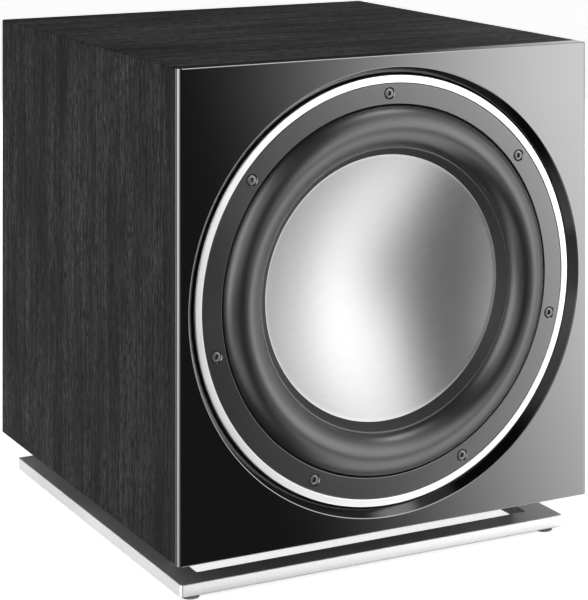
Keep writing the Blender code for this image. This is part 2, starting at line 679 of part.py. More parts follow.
def build_cable():
    """Driver cable from the terminal block through the brace's window to the board."""
    path = bpy.data.curves.new("driver_cable", "CURVE")
    path.dimensions = "3D"
    path.bevel_depth = 0.0025
    path.bevel_resolution = 1
    path.resolution_u = 5
    path.use_fill_caps = True
    drop = DRIVER[2] - 0.1135
    board_front = BACK - BOARD_BACK
    bends = [(0, FRONT + 0.111, drop), (0, FRONT + 0.190, drop - 0.006),
             (-0.02, FRONT + 0.290, drop + 0.010), (-0.04, board_front - 0.0034, MIDDLE)]
    spline = path.splines.new("BEZIER")
    spline.bezier_points.add(len(bends) - 1)
    for point, bend in zip(spline.bezier_points, bends):
        point.co = bend
        point.handle_left_type = point.handle_right_type = "AUTO"
    path.materials.append(finish_material("driver_cable", CABLE_RED))
    place("driver_cable", path)


def build_amplifier(rear_panel):
    knobs = ((0.070, -0.014), (0.025, -0.014), (-0.020, -0.014))
    jacks = ((0.078, -0.070), (0.052, -0.070))
    lamp = (-0.062, -0.014)
    switch = (0.008, -0.070)
    build_amp_plate(rear_panel, knobs, jacks, lamp, switch)
    build_amp_screws()
    build_knobs(knobs)
    build_jacks(jacks)
    build_lamp(lamp)
    build_mode_switch(switch)
    build_mains_inlet()
    build_electronics()
    build_cable()


def build():
    for old in list(bpy.data.objects):
        bpy.data.objects.remove(old, do_unlink=True)
    screw_holes = build_screw_holes()
    build_walls()
    build_front_baffle()
    rear_panel = build_inner_boards(screw_holes)
    build_base()
    build_trim_ring()
    build_frame_ring()
    build_basket(screw_holes)
    build_gasket()
    build_surround()
    build_cone()
    build_spider()
    build_motor()
    build_woofer_screws()
    build_terminal()
    build_amplifier(rear_panel)


build()
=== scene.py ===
"""Looks of the subwoofer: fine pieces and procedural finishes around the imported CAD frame."""
import json
import math

import bmesh
import bpy
import numpy as np
from mathutils import Matrix, Vector


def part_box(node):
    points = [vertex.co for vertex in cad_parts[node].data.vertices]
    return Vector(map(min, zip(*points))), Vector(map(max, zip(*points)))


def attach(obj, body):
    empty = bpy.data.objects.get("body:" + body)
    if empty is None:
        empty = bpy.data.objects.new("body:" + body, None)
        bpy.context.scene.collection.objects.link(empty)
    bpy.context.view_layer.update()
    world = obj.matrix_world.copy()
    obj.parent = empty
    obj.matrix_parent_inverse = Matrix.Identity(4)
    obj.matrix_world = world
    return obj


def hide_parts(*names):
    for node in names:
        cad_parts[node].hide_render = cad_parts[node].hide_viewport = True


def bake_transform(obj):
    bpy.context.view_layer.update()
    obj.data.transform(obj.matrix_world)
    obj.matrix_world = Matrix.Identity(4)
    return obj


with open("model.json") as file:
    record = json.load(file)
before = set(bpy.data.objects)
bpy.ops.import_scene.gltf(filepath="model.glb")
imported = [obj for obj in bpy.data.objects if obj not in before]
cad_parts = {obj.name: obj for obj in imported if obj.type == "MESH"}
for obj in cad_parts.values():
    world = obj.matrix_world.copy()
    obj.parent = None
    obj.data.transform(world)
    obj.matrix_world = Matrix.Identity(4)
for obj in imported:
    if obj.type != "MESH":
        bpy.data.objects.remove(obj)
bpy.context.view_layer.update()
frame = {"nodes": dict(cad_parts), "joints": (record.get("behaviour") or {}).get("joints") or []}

NODES = frame["nodes"]


def middle(node):
    """Centre of a CAD node's box."""
    low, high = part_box(node)
    return (low + high) / 2


CABINET_LOW = Vector((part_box("left_side_panel")[0].x, 0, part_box("bottom_panel")[0].z))
CABINET_HIGH = Vector((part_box("right_side_panel")[1].x, 0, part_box("top_panel")[1].z))
WALL_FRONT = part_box("top_panel")[0].y
WALL_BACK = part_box("top_panel")[1].y
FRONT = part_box("front_baffle")[0].y
BAFFLE_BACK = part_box("front_baffle")[1].y
FRONT_OF_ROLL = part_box("surround")[0].y
DRIVER = Vector((0, FRONT, middle("trim_ring").z))
BOARD = 0.018            # thickness of the cabinet's walls
GAP = 0.0003             # clearance between neighbours
SHARP_ANGLE = 32         # edges above this many degrees stay sharp
ROUND = 192              # segments of the large turned pieces

# Radii of the driver's rings and their depth behind the front.
MOUTH, THROAT, BEVEL_DEPTH = 0.1885, 0.1823, 0.0070
TRIM_OUTER, TRIM_INNER, TRIM_BACK = 0.1813, 0.1744, 0.0150
RING_OUTER, RING_INNER, RING_BACK = 0.1739, 0.1564, 0.0076
RING_FACE = 0.0053
RIM, RIM_DEPTH = 0.1121, 0.0151


# ---------------------------------------------------------------- outlines

def spin(vector, angle):
    """A 2-D vector turned by an angle."""
    cos, sin = math.cos(angle), math.sin(angle)
    return Vector((vector.x * cos - vector.y * sin, vector.x * sin + vector.y * cos))


def rounded(points, radii, steps=5):
    """An outline with an arc of its own radius at each corner; 0 keeps a corner sharp."""
    result = []
    for index, radius in enumerate(radii):
        corner = Vector(points[index])
        if not radius:
            result.append(corner)
            continue
        before = (Vector(points[index - 1]) - corner).normalized()
        after = (Vector(points[(index + 1) % len(points)]) - corner).normalized()
        half = before.angle(after) / 2
        centre = corner + (before + after).normalized() * radius / math.sin(half)
        start = corner + before * radius / math.tan(half) - centre
        end = corner + after * radius / math.tan(half) - centre
        sweep = math.atan2(start.x * end.y - start.y * end.x, start.dot(end))
        result += [centre + spin(start, sweep * step / steps) for step in range(steps + 1)]
    return result


def arc(centre, radius, start, end, steps):
    """Points on a circle between two angles in degrees, both ends included."""
    angles = [math.radians(start + (end - start) * step / steps) for step in range(steps + 1)]
    return [Vector((centre[0] + radius * math.cos(a), centre[1] + radius * math.sin(a)))
            for a in angles]


def box_outline(width, height, radius=0.0, centre=(0, 0), steps=5):
    """A rectangle with round corners."""
    corners = [(centre[0] + width / 2 * a, centre[1] + height / 2 * b)
               for a, b in ((-1, -1), (1, -1), (1, 1), (-1, 1))]
    return rounded(corners, [radius] * 4, steps)


def offset(line, distance):
    """An open line moved sideways by a distance, to its left."""
    moved = []
    for index, point in enumerate(line):
        before, after = line[max(index - 1, 0)], line[min(index + 1, len(line) - 1)]
        along = (Vector(after) - Vector(before)).normalized()
        moved.append(Vector(point) + Vector((-along.y, along.x)) * distance)
    return moved


# ---------------------------------------------------------------- solids

def loft(outlines):
    """Closed skin through outlines of equal length, each a list of 3-D points."""
    bm = bmesh.new()
    rings = [[bm.verts.new(point) for point in outline] for outline in outlines]
    for low, high in zip(rings, rings[1:]):
        for index in range(len(low)):
            after = (index + 1) % len(low)
            bm.faces.new((low[index], low[after], high[after], high[index]))
    bm.faces.new(rings[0])
    bm.faces.new(rings[-1])
    bmesh.ops.recalc_face_normals(bm, faces=bm.faces)
    return bm


def extrude(outline, low, high, soft=0.0):
    """A prism along +Z with its two ends softened by a small inset."""
    if not soft:
        levels = [(low, 0.0), (high, 0.0)]
    else:
        quarter = [(soft * (1 - math.cos(a)), soft * (1 - math.sin(a)))
                   for a in (0, math.pi / 6, math.pi / 3, math.pi / 2)]
        levels = [(low + rise, inset) for rise, inset in quarter]
        levels += [(high - rise, inset) for rise, inset in reversed(quarter)]
    closed = list(outline) + [outline[0]]
    area = sum(a[0] * b[1] - a[1] * b[0] for a, b in zip(closed, closed[1:]))
    turn = math.copysign(1, area)

    def inset_by(distance):
        points = []
        for index, point in enumerate(outline):
            before = (Vector(point) - Vector(outline[index - 1])).normalized()
            after = (Vector(outline[(index + 1) % len(outline)]) - Vector(point)).normalized()
            left = Vector((-before.y, before.x)) + Vector((-after.y, after.x))
            scale = 2 / max(left.length_squared, 0.5)
            points.append(Vector(point) + left * scale * distance * turn)
        return points

    return loft([[(p.x, p.y, level) for p in inset_by(inset)] for level, inset in levels])


def lathe(outline, segments=ROUND):
    """A solid of revolution round Z from (radius, height) points, closed or axis to axis."""
    bm = bmesh.new()
    turns = [math.tau * index / segments for index in range(segments)]
    rings = []
    for radius, height in outline:
        if radius < 1e-7:
            rings.append([bm.verts.new((0, 0, height))])
        else:
            rings.append([bm.verts.new((radius * math.cos(a), radius * math.sin(a), height))
                          for a in turns])
    pairs = list(zip(rings, rings[1:]))
    if len(rings[0]) > 1:
        pairs.append((rings[-1], rings[0]))
    for low, high in pairs:
        for index in range(segments):
            after = index + 1
            corners = (low[index % len(low)], low[after % len(low)],
                       high[after % len(high)], high[index % len(high)])
            bm.faces.new(tuple(dict.fromkeys(corners)))
    bmesh.ops.recalc_face_normals(bm, faces=bm.faces)
    return bm


# Each turns a lathe's or prism's own +Z to the world direction in its name.
TO_BACK = Matrix(((1, 0, 0), (0, 0, 1), (0, -1, 0))).to_4x4()
OUT_OF_REAR = Matrix(((-1, 0, 0), (0, 0, 1), (0, 1, 0))).to_4x4()
ALONG_X = Matrix(((0, 0, 1), (1, 0, 0), (0, 1, 0))).to_4x4()
UPRIGHT = Matrix.Identity(4)


def thing(name, bm, turn=UPRIGHT, at=(0, 0, 0), smooth=SHARP_ANGLE):
    """An object from mesh data, turned and moved into place in the row frame."""
    mesh = bpy.data.meshes.new(name)
    bm.transform(Matrix.Translation(at) @ turn)
    bm.to_mesh(mesh)
    bm.free()
    mesh.shade_smooth()
    mesh.set_sharp_from_angle(angle=math.radians(smooth))
    obj = bpy.data.objects.new(name, mesh)
    bpy.context.scene.collection.objects.link(obj)
    return obj


def cut(obj, *tools):
    """Subtract the tools from an object for good."""
    for tool in tools:
        modifier = obj.modifiers.new("cut", "BOOLEAN")
        modifier.operation, modifier.solver, modifier.object = "DIFFERENCE", "EXACT", tool
    graph = bpy.context.evaluated_depsgraph_get()
    mesh = bpy.data.meshes.new_from_object(obj.evaluated_get(graph))
    obj.modifiers.clear()
    obj.data = mesh
    mesh.shade_smooth()
    mesh.set_sharp_from_angle(angle=math.radians(SHARP_ANGLE))
    for tool in tools:
        bpy.data.objects.remove(tool, do_unlink=True)
    return obj


def true_flats(obj):
    """Large flat faces keep their own normal beside round edges."""
    modifier = obj.modifiers.new("true_flats", "WEIGHTED_NORMAL")
    modifier.keep_sharp = True
    return obj


def copy_to(source, name, place, turn, roll):
    """One more object with the same mesh, at a place and rolled on its own axis by degrees."""
    obj = bpy.data.objects.new(name, source.data)
    bpy.context.scene.collection.objects.link(obj)
    spun = Matrix.Rotation(math.radians(roll), 4, "Z")
    obj.matrix_world = Matrix.Translation(place) @ turn @ spun
    return obj


def dress(obj, finish, body="cabinet", nodes=()):
    """Give a piece its finish, the CAD nodes it stands for and its body."""
    obj.data.materials.clear()
    obj.data.materials.append(finish)
    if nodes:
        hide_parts(*nodes)
    if body:
        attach(obj, body)
    return obj


# ---------------------------------------------------------------- node building

class Value:
    """A shader socket that ordinary arithmetic turns into Math nodes."""

    def __init__(self, tree, socket):
        self.tree, self.socket = tree, socket

    def math(self, operation, *others):
        node = self.tree.nodes.new("ShaderNodeMath")
        node.operation = operation
        for socket, value in zip(node.inputs, (self,) + others):
            feed(self.tree, value, socket)
        return Value(self.tree, node.outputs[0])

    def __add__(self, other):
        return self.math("ADD", other)

    def __sub__(self, other):
        return self.math("SUBTRACT", other)

    def __mul__(self, other):
        return self.math("MULTIPLY", other)

    def __pow__(self, other):
        return self.math("POWER", other)

    def ease(self, low, high, smooth=True):
        """0 at low and 1 at high, smooth or straight between; low may be above high."""
        node = self.tree.nodes.new("ShaderNodeMapRange")
        node.interpolation_type = "SMOOTHSTEP" if smooth else "LINEAR"
        for socket, value in zip(node.inputs, (self, low, high)):
            feed(self.tree, value, socket)
        return Value(self.tree, node.outputs[0])


def feed(tree, value, socket):
    """Link or set a node input."""
    if isinstance(value, Value):
        tree.links.new(value.socket, socket)
    elif isinstance(value, bpy.types.NodeSocket):
        tree.links.new(value, socket)
    else:
        socket.default_value = value


def split(tree, vector):
    """The three parts of a vector socket."""
    node = tree.nodes.new("ShaderNodeSeparateXYZ")
    tree.links.new(vector, node.inputs[0])
    return [Value(tree, output) for output in node.outputs]


def place_of(tree, centre=(0, 0, 0)):
    """Rest position in the row frame, measured from a centre, as a vector socket."""
    source = tree.nodes.new("ShaderNodeTexCoord")
    shift = tree.nodes.new("ShaderNodeVectorMath")
    shift.operation = "SUBTRACT"
    tree.links.new(source.outputs["Object"], shift.inputs[0])
    shift.inputs[1].default_value = centre
    return shift.outputs[0]


def noise(tree, vector, cells, detail=2.0, roughness=0.5, distortion=0.0, seed=0.0):
    """Noise with that many cells to a metre along x, y and z."""
    scale = tree.nodes.new("ShaderNodeVectorMath")
    scale.operation = "MULTIPLY_ADD"
    tree.links.new(vector, scale.inputs[0])
    scale.inputs[1].default_value = cells if hasattr(cells, "__len__") else (cells,) * 3
    scale.inputs[2].default_value = (seed, seed, seed)
    texture = tree.nodes.new("ShaderNodeTexNoise")
    tree.links.new(scale.outputs[0], texture.inputs["Vector"])
    texture.inputs["Scale"].default_value = 1.0
    texture.inputs["Detail"].default_value = detail
    texture.inputs["Roughness"].default_value = roughness
    texture.inputs["Distortion"].default_value = distortion
    return Value(tree, texture.outputs[0])


def colour(value):
    """A grey level or an RGB triple as RGBA."""
    return (value, value, value, 1) if isinstance(value, (int, float)) else (*value, 1)


def mix(tree, factor, first, second):
    """A colour socket between two colours or colour sockets."""
    node = tree.nodes.new("ShaderNodeMix")
    node.data_type = "RGBA"
    feed(tree, factor, node.inputs[0])
    for socket, value in ((node.inputs[6], first), (node.inputs[7], second)):
        feed(tree, value if isinstance(value, bpy.types.NodeSocket) else colour(value), socket)
    return node.outputs[2]


def bump(tree, height, depth, before=None):
    """A normal socket; height 0 to 1 stands for that depth in metres."""
    node = tree.nodes.new("ShaderNodeBump")
    node.inputs["Strength"].default_value = 1.0
    node.inputs["Distance"].default_value = depth
    feed(tree, height, node.inputs["Height"])
    if before is not None:
        tree.links.new(before, node.inputs["Normal"])
    return node.outputs[0]


def material(name, roughness=0.5, metallic=0.0, **inputs):
    """A new Principled material: (material, tree, shader)."""
    made = bpy.data.materials.new(name)
    made.use_nodes = True
    tree = made.node_tree
    shader = tree.nodes["Principled BSDF"]
    shader.inputs["Roughness"].default_value = roughness
    shader.inputs["Metallic"].default_value = metallic
    for key, value in inputs.items():
        shader.inputs[key.replace("_", " ")].default_value = value
    return made, tree, shader


def grained(name, dark, light, roughness, metallic=0.0, cells=400, depth=0.00003, spread=0.1,
            detail=3.0, **inputs):
    """A finish whose colour, roughness and relief follow one noise grain."""
    made, tree, shader = material(name, roughness, metallic, **inputs)
    spot = place_of(tree)
    grain = noise(tree, spot, cells, detail)
    wear = noise(tree, spot, 14.0, 3.0, seed=4.0)
    feed(tree, mix(tree, grain.ease(0.3, 0.7), dark, light), shader.inputs["Base Color"])
    feed(tree, grain * spread + wear * spread + (roughness - spread), shader.inputs["Roughness"])
    feed(tree, bump(tree, grain, depth), shader.inputs["Normal"])
    return made


def ring_lines(tree, centre, cells):
    """Fine lines round the driver's axis, as left by a lathe."""
    x, y, z = split(tree, place_of(tree, centre))
    radius = (x * x + z * z) ** 0.5
    join = tree.nodes.new("ShaderNodeCombineXYZ")
    feed(tree, radius * cells, join.inputs[0])
    feed(tree, y * cells, join.inputs[1])
    texture = tree.nodes.new("ShaderNodeTexNoise")
    tree.links.new(join.outputs[0], texture.inputs["Vector"])
    texture.inputs["Scale"].default_value = 1.0
    texture.inputs["Detail"].default_value = 2.0
    return Value(tree, texture.outputs[0])


def turned_finish(name, dark, light, roughness, metallic, cells, depth, **inputs):
    """A finish with lathe lines round the driver's axis."""
    made, tree, shader = material(name, roughness, metallic, **inputs)
    lines = ring_lines(tree, DRIVER, cells)
    wear = noise(tree, place_of(tree), 30.0, 3.0)
    feed(tree, mix(tree, lines, dark, light), shader.inputs["Base Color"])
    feed(tree, lines * 0.06 + wear * 0.08 + (roughness - 0.07), shader.inputs["Roughness"])
    feed(tree, bump(tree, lines, depth), shader.inputs["Normal"])
    return made


def veneer(name, along):
    """Black ash: short open pores in wandering lines, over wavy figure along one axis."""
    made, tree, shader = material(name, 0.5, IOR=1.45, Specular_IOR_Level=0.03)

    def cells(lengthwise, crosswise):
        return [lengthwise if axis == along else crosswise for axis in "XYZ"]

    spot = place_of(tree)
    wander = noise(tree, spot, cells(6, 20), 2.0, seed=2.0)
    lean = tree.nodes.new("ShaderNodeVectorMath")
    lean.operation = "MULTIPLY_ADD"
    feed(tree, wander, lean.inputs[0])
    lean.inputs[1].default_value = cells(0.0, 0.015)
    tree.links.new(spot, lean.inputs[2])
    bent = lean.outputs[0]
    pores = noise(tree, bent, cells(110, 900), 3.0, 0.7, 0.3)
    lines = noise(tree, bent, cells(9, 330), 2.0, seed=5.0)
    figure = noise(tree, bent, cells(2.2, 38), 3.0, seed=7.0)
    patch = noise(tree, spot, cells(5, 9), 2.0, seed=9.0)
    streak = pores.ease(0.38, 0.62) * (lines.ease(0.34, 0.60) * 0.75 + 0.25)
    tone = streak * (figure.ease(0.3, 0.66) * 0.55 + 0.45) * (patch.ease(0.3, 0.65) * 0.6 + 0.4)
    feed(tree, mix(tree, tone, 0.010, 0.20), shader.inputs["Base Color"])
    feed(tree, streak * -0.1 + 0.55, shader.inputs["Roughness"])
    relief = bump(tree, lines, 0.00005)
    feed(tree, bump(tree, pores.ease(0.35, 0.6), 0.00006, relief), shader.inputs["Normal"])
    return made


def lacquer():
    """Polished black lacquer with the faintest haze and orange peel."""
    made, tree, shader = material("gloss_lacquer", 0.03, IOR=2.4)
    shader.inputs["Base Color"].default_value = (0.0022, 0.0022, 0.0024, 1)
    spot = place_of(tree)
    haze = noise(tree, spot, 25.0, 4.0)
    feed(tree, haze * 0.02 + 0.02, shader.inputs["Roughness"])
    feed(tree, bump(tree, noise(tree, spot, 160.0, 1.0), 0.0000006), shader.inputs["Normal"])
    return made


def bevel_lacquer():
    """Satin black of the bevel round the opening, with less shine than the front."""
    made, tree, shader = material("bevel_lacquer", 0.1, IOR=1.35)
    shader.inputs["Base Color"].default_value = (0.004, 0.004, 0.0042, 1)
    haze = noise(tree, place_of(tree), 900.0, 2.0)
    feed(tree, haze * 0.05 + 0.08, shader.inputs["Roughness"])
    feed(tree, bump(tree, haze, 0.000002), shader.inputs["Normal"])
    return made


def brushed_dish():
    """Aluminium brushed from side to side, so that highlights spread up and down."""
    made, tree, shader = material("brushed_dish", 0.3, 1.0, Anisotropic=0.5,
                                  Anisotropic_Rotation=0.25)
    spot = place_of(tree)
    hair = noise(tree, spot, (14, 3500, 3500), 2.0)
    band = noise(tree, spot, (5, 300, 300), 3.0, seed=3.0)
    feed(tree, mix(tree, hair * 0.6 + band * 0.4, 0.35, 0.49), shader.inputs["Base Color"])
    feed(tree, hair * 0.10 + band * 0.06 + 0.36, shader.inputs["Roughness"])
    feed(tree, bump(tree, hair, 0.0000015), shader.inputs["Normal"])
    across = tree.nodes.new("ShaderNodeVectorTransform")
    across.vector_type, across.convert_from, across.convert_to = "VECTOR", "OBJECT", "WORLD"
    across.inputs[0].default_value = (1, 0, 0)
    tree.links.new(across.outputs[0], shader.inputs["Tangent"])
    return made


# ---------------------------------------------------------------- finishes

VENEER_UPRIGHT = veneer("black_ash_upright", "Z")
VENEER_ACROSS = veneer("black_ash_across", "X")
LACQUER = lacquer()
BEVEL = bevel_lacquer()
DISH = brushed_dish()
BRIGHT = turned_finish("satin_aluminium", 0.66, 0.76, 0.30, 1.0, 5000, 0.000001)
SATIN_BLACK = grained("satin_black_ring", 0.003, 0.006, 0.17, cells=2200, depth=0.0000015,
                      spread=0.05, IOR=2.05)
SURROUND = turned_finish("nitrile_rubber", 0.009, 0.015, 0.34, 0.0, 900, 0.000003, IOR=1.75)
SEAT_RUBBER = grained("matt_rubber", 0.010, 0.018, 0.6, cells=1400, depth=0.00001)
SILVER = grained("base_silver", 0.69, 0.77, 0.46, 0.95, cells=1500, depth=0.000006)
RUBBER = grained("foot_rubber", 0.48, 0.56, 0.65, cells=900)
STEEL = grained("black_steel", 0.11, 0.17, 0.30, 0.9, cells=1200, depth=0.000004)
POWDER = grained("powder_coat", 0.018, 0.032, 0.5, cells=2600, depth=0.00004)
PLASTIC = grained("black_plastic", 0.012, 0.020, 0.42, cells=3000, depth=0.00001)
GLOSS_PLASTIC = grained("gloss_plastic", 0.010, 0.014, 0.22, cells=60, depth=0.000004)
WHITE_INK = grained("white_ink", 0.62, 0.75, 0.5, cells=1500)
NICKEL = grained("nickel", 0.62, 0.70, 0.24, 1.0, cells=500, depth=0.000003)
WHITE_PLASTIC = grained("white_plastic", 0.62, 0.70, 0.35, cells=900)
RED_PLASTIC = grained("red_plastic", (0.42, 0.012, 0.010), (0.52, 0.02, 0.015), 0.35, cells=900)
LENS = grained("lamp_lens", (0.02, 0.30, 0.06), (0.04, 0.42, 0.09), 0.15, cells=300,
               Emission_Color=(0.1, 1.0, 0.25, 1), Emission_Strength=0.35)
BOARD_DARK = grained("dark_board", (0.030, 0.024, 0.018), (0.055, 0.042, 0.030), 0.8, cells=600,
                     depth=0.00006)
FOAM = grained("seal_foam", 0.015, 0.035, 0.92, cells=1600, depth=0.0002)
CAST = grained("cast_basket", 0.020, 0.040, 0.5, 0.4, cells=1300, depth=0.00004)
PULP = grained("paper_pulp", 0.018, 0.040, 0.85, cells=700, depth=0.0001, detail=5.0)
FILM = grained("former_film", (0.40, 0.17, 0.03), (0.52, 0.24, 0.05), 0.3, cells=200)
COPPER = grained("copper_wire", (0.60, 0.26, 0.12), (0.78, 0.38, 0.20), 0.3, 1.0,
                 cells=(20, 4000, 20), depth=0.00008)
CLOTH = grained("spider_cloth", (0.38, 0.26, 0.09), (0.56, 0.41, 0.17), 0.9, cells=2400,
                depth=0.00012)
ZINC = grained("zinc_steel", 0.45, 0.62, 0.34, 1.0, cells=180, depth=0.00001)
FERRITE = grained("ferrite", 0.030, 0.060, 0.72, cells=900, depth=0.00005)
CIRCUIT = grained("circuit_board", (0.010, 0.09, 0.03), (0.020, 0.15, 0.06), 0.4, cells=700)
TAPE = grained("winding_tape", (0.52, 0.36, 0.05), (0.66, 0.50, 0.10), 0.4,
               cells=(300, 900, 300), depth=0.0001)
SLEEVE = grained("capacitor_sleeve", (0.02, 0.04, 0.11), (0.03, 0.06, 0.16), 0.3, cells=120)
CABLE = grained("cable_sleeve", (0.30, 0.02, 0.02), (0.40, 0.04, 0.03), 0.45, cells=500)


# ---------------------------------------------------------------- cabinet

def build_walls():
    """Four mitred boards whose outer corners are rounded, with hairline mitres."""
    corner, seam, steps = 0.0015, 0.00006, 5
    centre = (CABINET_LOW + CABINET_HIGH) / 2
    half = (CABINET_HIGH - CABINET_LOW) / 2
    sides = (("right", 0, half.x, half.z), ("top", 90, half.z, half.x),
             ("left", 180, half.x, half.z), ("bottom", 270, half.z, half.x))
    for name, turn, out, along in sides:
        edge = arc((out - corner, along - corner), corner, 0, 45, steps)
        right = [p - Vector((0, seam)) for p in edge]
        right.append(Vector((out - BOARD, along - BOARD - seam)))
        outline = right + [Vector((p.x, -p.y)) for p in reversed(right)]
        outline = [spin(p, math.radians(turn)) for p in outline]
        bm = extrude([(p.x, -p.y) for p in outline], WALL_FRONT, WALL_BACK, 0.0004)
        obj = thing(f"{name}_veneered_wall", bm, TO_BACK, (centre.x, 0, centre.z))
        node = f"{name}_side_panel" if name in ("left", "right") else f"{name}_panel"
        finish = VENEER_UPRIGHT if name in ("left", "right") else VENEER_ACROSS
        dress(true_flats(obj), finish, nodes=[node])


def baffle_plan(inset):
    """Right half of the baffle seen from above, from the front corner to the back."""
    radius, shoulder, step, lip = 0.0036, 0.0050, 0.0003, 0.0003
    half = CABINET_HIGH.x
    front = arc((half - step - radius, radius), radius - inset, -90, 0, 14)
    ledge = arc((half - step, shoulder + lip), lip, -90, 0, 3)
    points = front + [p - Vector((inset, 0)) for p in ledge]
    return points + [Vector((half - inset, BAFFLE_BACK - FRONT))]


def build_baffle():
    """Lacquered front with round upright edges and a bevelled, softly lipped opening."""
    soft = 0.0008
    quarter = [math.radians(a) for a in (0, 22.5, 45, 67.5, 90)]
    ends = [(soft * (1 - math.cos(a)), soft * (1 - math.sin(a))) for a in quarter]
    low, high = CABINET_LOW.z, CABINET_HIGH.z
    levels = [(low + rise, inset) for rise, inset in ends]
    levels += [(high - rise, inset) for rise, inset in reversed(ends)]
    outlines = []
    for level, inset in levels:
        half = baffle_plan(inset)
        plan = half + [Vector((-p.x, p.y)) for p in reversed(half)]
        depth = [p.y if p.y > 0.001 + inset else max(p.y, inset) for p in plan]
        outlines.append([(p.x, FRONT + d, level) for p, d in zip(plan, depth)])
    baffle = thing("gloss_front", loft(outlines))
    ahead, behind = -0.01, 0.02
    bevel = rounded([(MOUTH + 0.004, 0), (MOUTH, 0), (THROAT, BEVEL_DEPTH), (THROAT, behind)],
                    [0, 0.0011, 0.0007, 0], 6)[1:]
    opening = [(0, ahead), (bevel[0].x, ahead)] + bevel + [(0, behind)]
    cut(baffle, thing("opening", lathe(opening), TO_BACK, DRIVER))
    dress(true_flats(baffle), LACQUER, nodes=["front_baffle"])
    baffle.data.materials.append(BEVEL)
    for face in baffle.data.polygons:
        spot = face.center - DRIVER
        sloping = -0.8 < face.normal.y < -0.5 and spot.y > 0.0005
        in_opening = THROAT + 0.0003 < math.hypot(spot.x, spot.z) < MOUTH - 0.0001
        face.material_index = 1 if sloping and in_opening else 0


# ---------------------------------------------------------------- driver

def bolt_circle():
    """Places of the seven driver screws on the ring, the first at the top."""
    low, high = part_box("woofer_screw_1")
    radius = (low.z + high.z) / 2 - DRIVER.z
    angles = [math.pi / 2 + math.tau * index / 7 for index in range(7)]
    return [DRIVER + Vector((radius * math.cos(a), 0, radius * math.sin(a))) for a in angles]


def on_driver(name, outline, **options):
    """A piece turned round the driver's axis; heights are depths behind the front."""
    return thing(name, lathe(outline), TO_BACK, DRIVER, **options)


def build_rings():
    """Bright trim ring round a satin frame ring that has a sunk seat for each screw."""
    trim = rounded([(TRIM_INNER, TRIM_BACK), (TRIM_INNER, RING_FACE), (TRIM_OUTER, RING_FACE),
                    (TRIM_OUTER, TRIM_BACK)], [0, 0.0005, 0.0014, 0])
    trim = on_driver("bright_trim_ring", trim)
    dress(true_flats(trim), BRIGHT, nodes=["trim_ring"])

    ring = rounded([(RING_INNER, RING_BACK), (RING_INNER, RING_FACE), (RING_OUTER, RING_FACE),
                    (RING_OUTER, RING_BACK)], [0, 0.0007, 0.0003, 0])
    ring = on_driver("satin_frame_ring", ring)
    mouth, bore, slope, reach = 0.0053, 0.0047, 0.0007, 0.006
    hole = [(0, -reach), (mouth, -reach), (mouth, 0), (bore, slope), (bore, reach), (0, reach)]
    for place in bolt_circle():
        cut(ring, thing("hole", lathe(hole, 48), TO_BACK, place + Vector((0, RING_FACE, 0))))
    dress(true_flats(ring), SATIN_BLACK, nodes=["frame_ring"])


def build_screws():
    """Button heads with a hexagon socket, one for each driver screw."""
    head, seat, shank, length = 0.00435, 0.0034, 0.0022, 0.022
    outline = rounded([(0, 0), (head, 0), (head, seat), (shank, seat), (shank, length),
                       (0, length)], [0, 0.0009, 0.0002, 0, 0.0004, 0])
    screw = thing("screw", lathe(outline, 64))
    hexagon = arc((0, 0), 0.0020, 0, 300, 5)
    socket = thing("socket", extrude(hexagon, -0.001, 0.0022))
    countersink = thing("countersink", lathe([(0, -0.0006), (0.0027, -0.0006), (0, 0.0021)], 64))
    cut(screw, socket, countersink)
    for index, place in enumerate(bolt_circle(), 1):
        place = place + Vector((0, RING_FACE + GAP, 0))
        obj = copy_to(screw, f"hex_screw_{index}", place, TO_BACK, 23 * index)
        dress(obj, STEEL, nodes=[f"woofer_screw_{index}"])
    bpy.data.objects.remove(screw)


def bend_by_radius(obj):
    """Bakes the piece's turn and place into its mesh."""
    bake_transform(obj)


def build_surround():
    """Tall rubber roll, clamped under the ring outside and glued to the cone inside."""
    crest, radius, roll_middle, wall = FRONT_OF_ROLL - FRONT, 0.0188, 0.1381, 0.0013
    # Depth of the two flat flanges, and the radii where the outer one and the inner one end.
    flange, still, ledge_outer, ledge_inner = 0.0079, 0.1560, 0.1204, 0.1191
    roll = arc((roll_middle, crest + radius), radius, -90 + 70, -90 - 68, 60)
    lip = rounded([(0.1603, flange), (still, flange), roll[0]], [0, 0.0006, 0], 6)[:-1]
    seat = [roll[-1], (ledge_outer, flange), (ledge_inner, flange), (RIM + GAP, RIM_DEPTH)]
    seat = rounded(seat, [0, 0.0008, 0.0005, 0], 5)[1:]
    front = lip + roll + seat
    outline = front + list(reversed(offset(front, -wall)))
    obj = on_driver("rubber_surround", outline, smooth=60)
    dress(obj, SURROUND, body=None, nodes=["surround"])
    obj.data.materials.append(SEAT_RUBBER)
    for face in obj.data.polygons:
        spot = face.center - DRIVER
        face.material_index = 1 if math.hypot(spot.x, spot.z) < ledge_inner - 0.0002 else 0
    bend_by_radius(obj)


def build_spider():
    """Corrugated cloth disc that centres the coil."""
    inner, outer, level, wall = 0.0387, 0.0970, 0.0930, 0.0007
    first_fold, last_fold, folds, height = 0.0435, 0.0845, 6, 0.0019
    steps = 72
    front = []
    for step in range(steps + 1):
        radius = inner + (outer - inner) * step / steps
        share = min(max((radius - first_fold) / (last_fold - first_fold), 0), 1)
        swing = height * math.sin(math.pi * folds * share)
        front.append(Vector((radius, level - swing)))
    outline = front + [p + Vector((0, wall)) for p in reversed(front)]
    obj = on_driver("corrugated_spider", outline, smooth=60)
    dress(obj, CLOTH, body=None, nodes=["spider"])
    bend_by_radius(obj)


